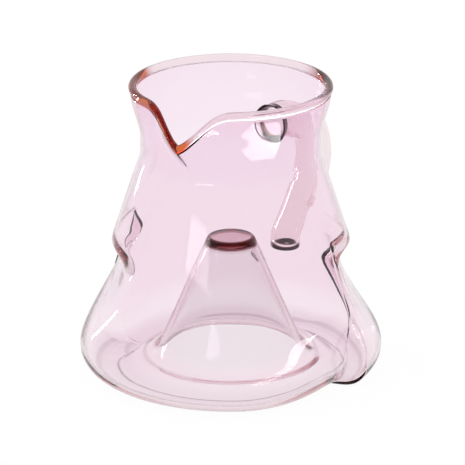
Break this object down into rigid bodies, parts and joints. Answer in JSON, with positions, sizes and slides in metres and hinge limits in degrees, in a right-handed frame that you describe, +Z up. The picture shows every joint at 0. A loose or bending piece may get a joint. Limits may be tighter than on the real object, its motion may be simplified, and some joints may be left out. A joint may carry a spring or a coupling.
{
  "type": "glass coffee server",
  "caption": "Conical clear glass coffee server with a V spout, pinched side grips, a hollow cone rising inside from the floor, and a hanging hollow tube handle.",
  "frame": {"origin": "centre of the foot ring, on the table plane under the body's axis", "axes": "+Z up along the body's axis, the spout points to -Y, the handle to +Y, the pinched grips face +X and -X"},
  "size_m": [0.1224, 0.146, 0.12],
  "materials": {
    "blown_glass": "clear pink borosilicate, fire polished",
    "thick_glass": "clear pink borosilicate, darker where it is thick"
  },
  "bodies": {
    "root": {"rim_bead": "thick_glass", "neck_wall": "blown_glass", "shoulder_wall": "blown_glass", "grip_band": "blown_glass", "bell_wall": "blown_glass", "floor_plate": "blown_glass", "cone_foot": "blown_glass", "cone_wall": "blown_glass", "cone_cap": "thick_glass", "handle_root": "thick_glass", "handle_arch": "blown_glass", "handle_leg": "blown_glass", "handle_lip": "thick_glass", "handle_scar": "thick_glass"}
  },
  "joints": []
}
